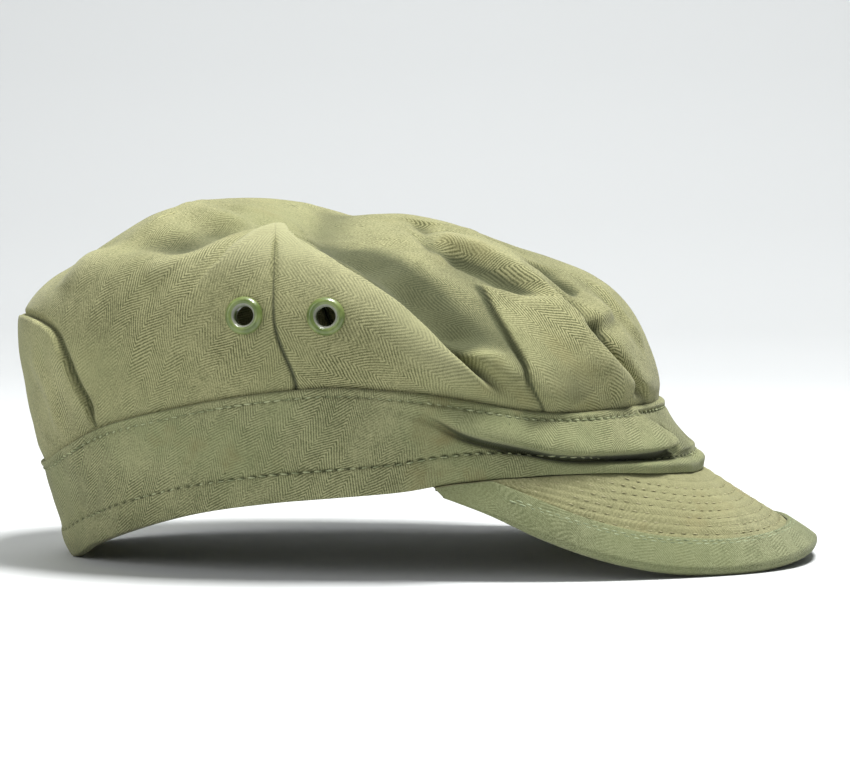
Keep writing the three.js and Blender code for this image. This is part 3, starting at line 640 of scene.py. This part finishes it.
# The headband: one closed section round the cap, bunched in folds at the front.
band = {"across": 760, "outer": 90, "under": 6, "over": 6, "inner": 12, "wall": 2.0,
        "length": 590, "hem": 9.5, "hemStitch": 3.9, "topStitch": 3.4, "topRow": 2.2,
        "upward": 0.45, "fadeFrom": 28, "fadeTo": 62, "even": 25, "puff": 0.9, "rope": 0.45,
        "hemHole": 0.65, "topHole": 0.5, "holeWidth": 0.7,
        "hills": [[34, 6.3, 1.1], [14, 2.2, 0.8], [6, 8.1, 0.25]]}
bandRolls = {"rise": [0, 0.12, 0.26, 0.37, 0.5, 0.68, 0.85, 1],
             "swell": [0, 0.8, -0.7, 1, 0.4, -0.6, -0.6, 0],
             "drop": [0, 0, 0, 0.9, 0.6, 0.2, 0, 0]}
bandFolds = [
    {"rise": 4, "below": 2, "beyond": 9, "sink": 3, "lean": 3.2, "fadeIn": 0.22, "fadeOut": 0.2,
     "route": [[-84, 0.9], [-75, 0.76], [-70, 0.58], [-65, 0.48], [-58, 0.38], [-54, 0.31], [-49, 0.28],
               [-40, 0.3], [-29, 0.33], [-23, 0.36], [-19, 0.43], [-17, 0.55],
               [-16, 0.72]]},   # right roll
    {"rise": 1.8, "below": 3.5, "beyond": 4, "fadeIn": 0.3, "fadeOut": 0.4,
     "route": [[-12, 0.2], [-5, 0.23], [4, 0.26], [14, 0.28], [26, 0.3]]},   # bulge past its end
    {"rise": -1.3, "below": 1.2, "beyond": 1.2, "paintedShade": 3, "fadeIn": 0.1, "fadeOut": 0.4,
     "route": [[-19, 0.33], [-17.5, 0.4], [-16.5, 0.5], [-16, 0.62], [-17, 0.78]]},   # line at its end, painted shade
    {"rise": 0, "below": 13, "beyond": 13, "paintedShade": 2.6, "fadeIn": 0.2, "fadeOut": 0.2,
     "route": [[-76, 0.6], [-45, 0.5], [-20, 0.5], [0, 0.5], [20, 0.5]]},   # painted shade on the band's front
    {"rise": 2.6, "below": 2.5, "beyond": 9, "sink": 2, "lean": 1.5, "fadeIn": 0.35, "fadeOut": 0.3,
     "route": [[10, 0.6], [18, 0.46], [30, 0.4], [46, 0.42], [60, 0.52], [72, 0.72]]},   # left roll
]

wayRound = {"turn": np.linspace(-180, 180, 721)}
wayRound["step"] = np.linalg.norm(np.diff(rimPoint(wayRound["turn"]) + bandTopPoint(wayRound["turn"]),
                                          axis=0), axis=1) / 2
wayRound["length"] = np.concatenate([[0], np.cumsum(wayRound["step"])])


def lengthRound(turn):   # how far along the band a turn is, in millimetres from the back
    return np.interp(turn, wayRound["turn"], wayRound["length"])


def bandWidth(turn):
    return np.linalg.norm(bandTopPoint(turn) - rimPoint(turn), axis=1)


def hemHeight(turn):   # the hem is lower over the visor
    return band["hem"] * (1 - 0.35 * smooth(70, 20, np.abs(turn)))


def onStrip(turn, rise):   # the band laid out flat, in millimetres
    return np.stack([turn / 360 * band["length"], rise * bandWidth(turn)], 1)


def bandSurface(turn, rise, depth):
    turn = (turn + 180) % 360 - 180
    side = np.abs(turn)
    rim, top = rimPoint(turn), bandTopPoint(turn)
    point = rim + (top - rim) * rise[:, None]
    width = bandWidth(turn)
    across = awayAt(turn)
    alongY = unit(top - rim)
    alongX = unit(bandTopPoint(turn + 1) + rimPoint(turn + 1) - top - rim)
    outward = unit(across + [0, 0, band["upward"]])
    shift, reliefShade = layFolds(bandFolds, onStrip, onStrip(turn, rise), {
        "normal": outward, "alongX": alongX, "alongY": alongY})
    front = 1 - smooth(band["fadeFrom"], band["fadeTo"], side)
    front = front * np.where(turn < 0, 1 - smooth(12, 30, side) * smooth(0.3, 0.42, rise), 1)
    swell = front * follow(bandRolls, "rise", "swell", rise)
    up = rise * width
    hem = hemHeight(turn)
    puff = band["puff"] * np.sin(np.clip(up / hem, 0, 1) * math.pi) ** 0.6
    hole = 0.5 + 0.5 * np.cos(lengthRound(turn) / band["hemStitch"] * 2 * math.pi)
    groove = -(0.15 + band["hemHole"] * hole) * np.exp(-((up - hem) / band["holeWidth"]) ** 2)
    fromTop = width - up
    topHole = 0.5 + 0.5 * np.cos(lengthRound(turn) / band["topStitch"] * 2 * math.pi)
    rope = band["rope"] * np.exp(-((fromTop - 0.9) / 0.9) ** 2)
    topGroove = np.exp(-((fromTop - band["topRow"]) / band["holeWidth"]) ** 2)
    rope -= (0.2 + band["topHole"] * topHole) * topGroove
    detail = puff + groove + rope
    outer = 1 - depth
    free = smooth(0, 0.12, rise) * smooth(0, 0.1, 1 - rise)
    point += shift * (outer * free)[:, None]
    point += outward * ((swell + detail) * outer)[:, None]
    point -= across * (depth * (band["wall"] + 5 * smooth(85, 40, side)))[:, None]
    point[:, 2] -= front * follow(bandRolls, "rise", "drop", rise) * outer
    # Painted shade in the stitch grooves and holes; the puffed hem and the rope go lighter as rubbed
    # cloth.
    dark = (groove + np.minimum(rope, 0)) * 1.3 + (puff + np.maximum(rope, 0)) * 0.3
    return point, up, reliefShade / 5 + dark * outer


def makeHeadband():
    counts = [band["under"], band["outer"], band["over"], band["inner"]]
    rows = sum(counts)
    marks = np.cumsum([0, *counts]) / rows

    def place(u, v):
        turn = -180 + 360 * (u + 0.05 * np.sin(2 * math.pi * u)) * 0.999999   # more columns on the right
        rise = np.interp(v, marks, [0, 0, 1, 1, 0])
        depth = np.interp(v, marks, [1, 0, 0, 1, 1])
        lid = np.sin(math.pi * np.interp(v, marks, [0, 0, 0, 1, 1]))
        point, up, reliefShade = bandSurface(turn, rise, depth)
        grid = np.lexsort((u, v)).reshape(rows + 1, band["across"] + 1)
        step = np.linalg.norm(np.diff(point[grid], axis=0), axis=2)
        step = np.concatenate([np.zeros((1, band["across"] + 1)), step])
        beside = band["even"] // 2
        around = np.concatenate([step[:, -beside - 1:-1], step, step[:, 1:beside + 1]], axis=1)
        mean = np.ones(band["even"]) / band["even"]
        even = np.stack([np.convolve(line, mean, "valid") for line in around])
        run = np.cumsum(even, axis=0)
        up[grid] = run - run[band["under"]]   # the true way over the folds keeps the weave unstretched
        point[:, 2] += np.maximum(lid, 0) * 0.5
        hills = hillsOn(point, band["hills"])
        point += awayAt(turn) * (hills * (1 - depth) * smooth(0, 0.15, 1 - rise))[:, None]
        point[:, 2] = np.maximum(point[:, 2], 0)
        return {"points": point, "cloth": np.stack([lengthRound(turn), up], 1), "wearAndShade": reliefShade}

    piece = shapedGrid("cloth_headband", band["across"], rows, place)
    finishCloth(piece, "headband", clothMaterials["band"])


makeHeadband()

# Stitches: short rounded bars of thread along a row on the cloth.
stitches = {"hem": {"pitch": band["hemStitch"], "length": 2.5, "thick": 0.62, "uneven": 0},
            "top": {"pitch": band["topStitch"], "length": 2.6, "thick": 0.6, "uneven": 0},
            "quilt": {"pitch": 4.2, "length": 1.9, "thick": 0.34, "uneven": 0.12},
            "edge": {"pitch": 3.2, "length": 2.6, "thick": 0.55, "uneven": 0.06}}


def threadMaterial(name, light, dark):
    graph = Graph(name)
    place = graph.node("ShaderNodeTexCoord", {}, {}, 3)
    mottle = graph.noise(place, grain["thread"], 2).between(0.35, 0.65)
    color = graph.mix(mottle, linear(dark), linear(light))
    graph.feed(graph.shader.inputs["Base Color"], color)
    graph.shader.inputs["Roughness"].default_value = 0.8
    bump = graph.node("ShaderNodeBump", {}, {"Strength": 0.4, "Distance": 0.0002,
                                             "Height": graph.noise(place, grain["fibre"], 1)})
    graph.feed(graph.shader.inputs["Normal"], bump)
    return graph.material


def sewRow(shape, row, turns, look):   # row(turn) gives points on the row
    points = row(np.linspace(*turns, 2400))
    run = np.concatenate([[0], np.cumsum(np.linalg.norm(np.diff(points, axis=0), axis=1))])
    middles = np.arange(look["pitch"] / 2, run[-1], look["pitch"])
    middles += np.sin(middles * 7.3) * look["pitch"] * look["uneven"]
    centre, ahead = (np.stack([np.interp(middles + step, run, points[:, k]) for k in range(3)], 1)
                     for step in (0, 0.4))
    bars = bmesh.new()
    sized = Matrix.Diagonal((look["length"], look["thick"], look["thick"], 1))
    for spot, way in zip(toRow(centre), unit(ahead - centre)):
        turned = Vector(way).to_track_quat("X", "Z").to_matrix().to_4x4()
        bmesh.ops.create_uvsphere(bars, u_segments=7, v_segments=5, radius=0.0005,
                                  matrix=Matrix.Translation(spot) @ turned @ sized
                                  @ Matrix.Rotation(math.pi / 2, 4, "Y"))
    mesh = meshOf("one row", bars)
    shape.from_mesh(mesh)
    bpy.data.meshes.remove(mesh)


def finishStitches(name, shape, material):
    finishCloth(addObject(name, meshOf(name, shape)), None, material)


def hemRow(turn):
    return bandSurface(turn, hemHeight(turn) / bandWidth(turn), 0 * turn)[0]


def topRow(turn):
    return bandSurface(turn, 1 - band["topRow"] / bandWidth(turn), 0 * turn)[0]


threads = threadMaterial("olive thread", "a5aa82", "6d7450")
sewn = bmesh.new()
sewRow(sewn, hemRow, (-180, 180), stitches["hem"])
sewRow(sewn, topRow, (-180, 180), stitches["top"])
finishStitches("stitches_headband", sewn, threads)

# The visor and its binding.
visor = {"halfTurn": 79, "tuck": 3.4, "wall": 2.2, "across": 300, "out": 90, "row": 3.6,
         "firstRow": 13.4, "rows": 7, "quilt": 0.16, "endWall": 0.25,
         "hills": [[14, 5.5, 0.3], [6, 1.5, 0.12]]}
visorEdge = {
    "turn": [0, 12, 24, 34, 43, 52, 61, 70, 75, 79],
    "x": [250, 248.2, 242.2, 232.5, 219.5, 201.5, 181.5, 160, 144.5, 129.6],
    "y": [0, 18, 34.5, 47, 56.8, 65.8, 72.4, 76.2, 77.9, 78.9],
    "z": [5.8, 5.4, 4.3, 2.9, 2.3, 3.6, 7.9, 15.3, 21.8, 27.2],
}


def visorTop(turn, reach):
    side = np.abs(turn)
    seam = rimPoint(turn) - [0, 0, 0.3]
    edge = np.stack([follow(visorEdge, "turn", "x", side),
                     np.sign(turn) * follow(visorEdge, "turn", "y", side),
                     follow(visorEdge, "turn", "z", side)], 1)
    point = seam + (edge - seam) * np.maximum(reach, 0)[:, None]
    return point - awayAt(turn) * (np.maximum(-reach, 0) * visor["tuck"])[:, None]


def visorWays(turn, reach):
    before = np.maximum(turn - 1, -visor["halfTurn"])
    after = np.minimum(turn + 1, visor["halfTurn"])
    sideways = unit(visorTop(after, np.maximum(reach, 0.02)) - visorTop(before, np.maximum(reach, 0.02)))
    inward = visorTop(turn, 0 * reach) - visorTop(turn, 0 * reach + 1)
    depth = np.linalg.norm(inward, axis=1)
    up = unit(np.cross(sideways, inward))
    out = unit(np.cross(sideways, up))
    return up, out, depth, -np.sum(out * inward, 1) / depth


def visorWall(turn):   # the thickness, which tapers to the visor's two corners
    share = visor["endWall"] + (1 - visor["endWall"]) * smooth(visor["halfTurn"], 66, np.abs(turn))
    return visor["wall"] * share


def makeVisor():
    rows = visor["out"] * 2 + 4

    def place(u, v):
        turn = visor["halfTurn"] * (2 * u - 1)
        under = v * rows < visor["out"] + 2
        reach = np.where(under, np.interp(v * rows, [0, visor["out"], visor["out"] + 2], [-1, 1, 1]),
                         np.interp(v * rows, [visor["out"] + 2, visor["out"] + 4, rows], [1, 1, -1]))
        level = np.interp(v * rows, [0, visor["out"], visor["out"] + 4, rows], [-1, -1, 0, 0])
        up, out, depth, square = visorWays(turn, reach)
        fromEdge = (1 - reach) * depth * square
        row = -np.cos(2 * math.pi * (fromEdge - visor["firstRow"]) / visor["row"])
        quilt = visor["quilt"] * row * smooth(9, 11, fromEdge) * smooth(0, 4, reach * depth)
        top = level > -0.5
        points = visorTop(turn, reach) + up * (level * visorWall(turn))[:, None]
        points += up * np.where(top, quilt, -quilt)[:, None]
        points += up * hillsOn(points, visor["hills"])[:, None]
        # Painted shade in the quilting's grooves; its ridges go lighter as rubbed cloth.
        return {"points": points, "cloth": points[:, :2].copy(), "wearAndShade": quilt * 3}

    piece = shapedGrid("cloth_visor", visor["across"], rows, place)
    finishCloth(piece, "visor", clothMaterials["visor"])


makeVisor()

binding = {"width": 11, "slack": 0.4, "wall": 1.0, "cloth": 0.9, "across": 360, "around": 60}


def bindingLift():   # from the middle of the visor's wall to the binding's outside
    return visor["wall"] / 2 + binding["slack"] + binding["wall"]


def makeBinding():
    far, nose = bindingLift(), binding["slack"] + binding["wall"]
    section = {"at": [0, 0.05, 0.38, 0.44, 0.5, 0.56, 0.62, 0.95, 1],
               "inward": [1, 0.97, 0, 0, 0, 0, 0, 0.97, 1],
               "past": [0, 0, 0, 0.8, 1, 0.8, 0, 0, 0],
               "up": [-0.6, -1, -1, -0.62, 0, 0.62, 1, 1, 0.6]}

    edgeTurns = np.linspace(-visor["halfTurn"], visor["halfTurn"], 400)
    edgeSteps = np.linalg.norm(np.diff(visorTop(edgeTurns, 0 * edgeTurns + 1), axis=0), axis=1)
    edgeRun = np.concatenate([[0], np.cumsum(edgeSteps)])

    def place(u, v):
        turn = visor["halfTurn"] * (2 * u - 1)
        _, _, depth, square = visorWays(turn, 0 * turn + 1)
        width = np.minimum(binding["width"] / square, depth - 0.2)
        inward = np.interp(v, section["at"], section["inward"])
        reach = 1 - inward * width / depth
        up, out, _, _ = visorWays(turn, reach)
        level = follow(section, "at", "up", v)
        past = np.maximum(follow(section, "at", "past", v), 0)
        full = visorWall(turn) / visor["wall"]
        points = visorTop(turn, reach) + up * (level * far * full - visorWall(turn) / 2)[:, None]
        points += out * (past * nose * full)[:, None]
        points[:, 2] = np.maximum(points[:, 2], 0)
        along = np.interp(turn, edgeTurns, edgeRun)
        return {"points": points, "cloth": np.stack([along, v * 30], 1), "wearAndShade": 0 * turn}

    piece = shapedGrid("cloth_binding", binding["across"], binding["around"], place)
    finishCloth(piece, "visor_binding", clothMaterials["binding"], binding["cloth"])


makeBinding()


def visorRow(fromEdge, lift):   # a row at one distance from the visor's edge, above or under it
    def surface(turn):
        _, _, depth, square = visorWays(turn, 0 * turn + 0.5)
        reach = 1 - fromEdge / (depth * square)
        up, _, _, _ = visorWays(turn, reach)
        return visorTop(turn, reach) + up * lift
    return surface


def rowTurns(fromEdge):   # how far round a row goes before it meets the headband
    turn = np.linspace(0, visor["halfTurn"] - 1, 200)
    _, _, depth, square = visorWays(turn, 0 * turn + 0.5)
    inside = turn[depth * square > fromEdge + 1.2]
    return (-inside.max(), inside.max()) if len(inside) else None


def sewVisor():
    quilting, edging = bmesh.new(), bmesh.new()
    for i in range(visor["rows"]):
        fromEdge = visor["firstRow"] + i * visor["row"]
        turns = rowTurns(fromEdge)
        if turns:
            for lift in (0, -visor["wall"]):
                sewRow(quilting, visorRow(fromEdge, lift), turns, stitches["quilt"])
    far = bindingLift()
    for fromInner in (1.2, 2.3):   # two rows near the binding's inner edge
        for lift in (far - visor["wall"] / 2, -far - visor["wall"] / 2):
            fromEdge = binding["width"] - fromInner
            sewRow(edging, visorRow(fromEdge, lift), rowTurns(fromEdge + 4), stitches["edge"])
    finishStitches("stitches_visor", quilting,
                   threadMaterial("visor thread", "b3ae88", "8d8963"))
    finishStitches("stitches_binding", edging,
                   threadMaterial("binding thread", "98a17f", "616b4b"))


sewVisor()


def makeEnamel():
    graph = Graph("olive enamel")
    place = graph.node("ShaderNodeTexCoord", {}, {}, 3)
    paleSlope = graph.node("ShaderNodeAttribute", {"attribute_name": "paleSlope"}, {}, 2)
    mottle = graph.noise(place, 300, 3)
    color = graph.mix(mottle.between(0.35, 0.7), linear("55652f"), linear("738046"))
    color = graph.mix(paleSlope.between(0.3, 0.8), color, linear("8f9183"))
    graph.feed(graph.shader.inputs["Base Color"], color)
    graph.feed(graph.shader.inputs["Roughness"], mottle * 0.2 + 0.25)
    graph.shader.inputs["Coat Weight"].default_value = 0.3
    return graph.material


enamel = makeEnamel()


def makeEyelet(name, turn, climb):
    seat, facing = eyeletSeat(turn, climb)
    hole, outer, rise = eyelets["hole"], eyelets["across"] / 2, eyelets["rise"]
    profile = [(hole + 0.1, -2.6), (hole, 0.3), (hole + 0.15, 0.8), (hole + 0.6, 1.3),
               (hole + 1, rise - 0.1), ((hole + outer) / 2 + 0.4, rise), (outer - 0.9, 1.75),
               (outer - 0.25, 1.2), (outer, 0.5), (outer - 0.2, -0.5)]   # radius and height
    shape = bmesh.new()
    verts = [shape.verts.new((r / 1000, 0, h / 1000)) for r, h in profile]
    edges = [shape.edges.new(pair) for pair in zip(verts, verts[1:])]
    bmesh.ops.spin(shape, geom=verts + edges, cent=(0, 0, 0), axis=(0, 0, 1), angle=2 * math.pi,
                   steps=eyelets["steps"], use_merge=True)
    bmesh.ops.remove_doubles(shape, verts=shape.verts, dist=1e-6)
    bmesh.ops.recalc_face_normals(shape, faces=shape.faces)
    paleSlope = shape.verts.layers.float.new("paleSlope")   # the inner slope is coloured pale grey
    for vert in shape.verts:
        vert[paleSlope] = float(0.1 < (vert.co.xy.length * 1000 - hole) < 0.7)
    turned = facing.to_track_quat("Z", "Y").to_matrix().to_4x4()
    bmesh.ops.transform(shape, matrix=Matrix.Translation(seat) @ turned, verts=shape.verts)
    piece = addObject("enamel_" + name, meshOf("enamel_" + name, shape))
    rounded = piece.modifiers.new("round", "SUBSURF")
    rounded.levels = rounded.render_levels = 1
    finishCloth(piece, name, enamel)


for name, place in eyelets["places"].items():
    makeEyelet(name, *place)

# The stage: a pale floor that runs up behind, soft light and the photograph's angle.
stage = {"floor": "d0d2d2", "size": 2.5, "bendAt": 0.9, "bend": 0.8, "lens": 148.9,
         "aim": (0.002, 0, 0.057), "camera": (0.0726, -1.1804, 0.1443), "lit": (0, 0, 0.05),
         "sky": (0.93, 0.97, 1, 1), "skyStrength": 0.24}
lights = {"key": {"place": (0.3, -0.08, 1.38), "size": 0.42, "power": 34},
          "fill": {"place": (-1.3, -0.9, 0.8), "size": 1.2, "power": 12},
          "back": {"place": (-0.2, 0.9, 1.4), "size": 1.0, "power": 7}}


def makeStage():
    shape = bmesh.new()
    bmesh.ops.create_grid(shape, x_segments=2, y_segments=24, size=stage["size"])
    start, bend = stage["bendAt"], stage["bend"]
    for vert in shape.verts:
        back = max(vert.co.y - start, 0)
        angle = min(back / bend, math.pi / 2)
        rest = max(back - bend * math.pi / 2, 0)
        vert.co.y = min(vert.co.y, start) + bend * math.sin(angle)
        vert.co.z = bend * (1 - math.cos(angle)) + rest
    mesh = meshOf("floor", shape)
    floor = addObject("floor", mesh)
    mesh.polygons.foreach_set("use_smooth", [True] * len(mesh.polygons))
    graph = Graph("pale floor")
    graph.shader.inputs["Base Color"].default_value = (*linear(stage["floor"]), 1)
    graph.shader.inputs["Roughness"].default_value = 0.8
    mesh.materials.append(graph.material)


def pointAt(holder, aim):
    holder.rotation_euler = (Vector(aim) - holder.location).to_track_quat("-Z", "Y").to_euler()


def addLight(name, look):
    lamp = bpy.data.lights.new(name, "AREA")
    lamp.shape, lamp.size, lamp.energy = "SQUARE", look["size"], look["power"]
    holder = addObject(name, lamp)
    holder.location = look["place"]
    pointAt(holder, stage["lit"])


makeStage()
for name, look in lights.items():
    addLight(name, look)
world = bpy.data.worlds.new("studio")
bpy.context.scene.world = world
world.use_nodes = True
sky = world.node_tree.nodes["Background"]
sky.inputs["Color"].default_value = stage["sky"]
sky.inputs["Strength"].default_value = stage["skyStrength"]
bpy.context.scene.view_settings.view_transform = "Standard"

lens = bpy.data.cameras.new("camera")
lens.lens, lens.sensor_width, lens.clip_start = stage["lens"], 36, 0.05
camera = addObject("camera", lens)
camera.location = stage["camera"]
pointAt(camera, stage["aim"])
bpy.context.scene.camera = camera
print("set the stage")
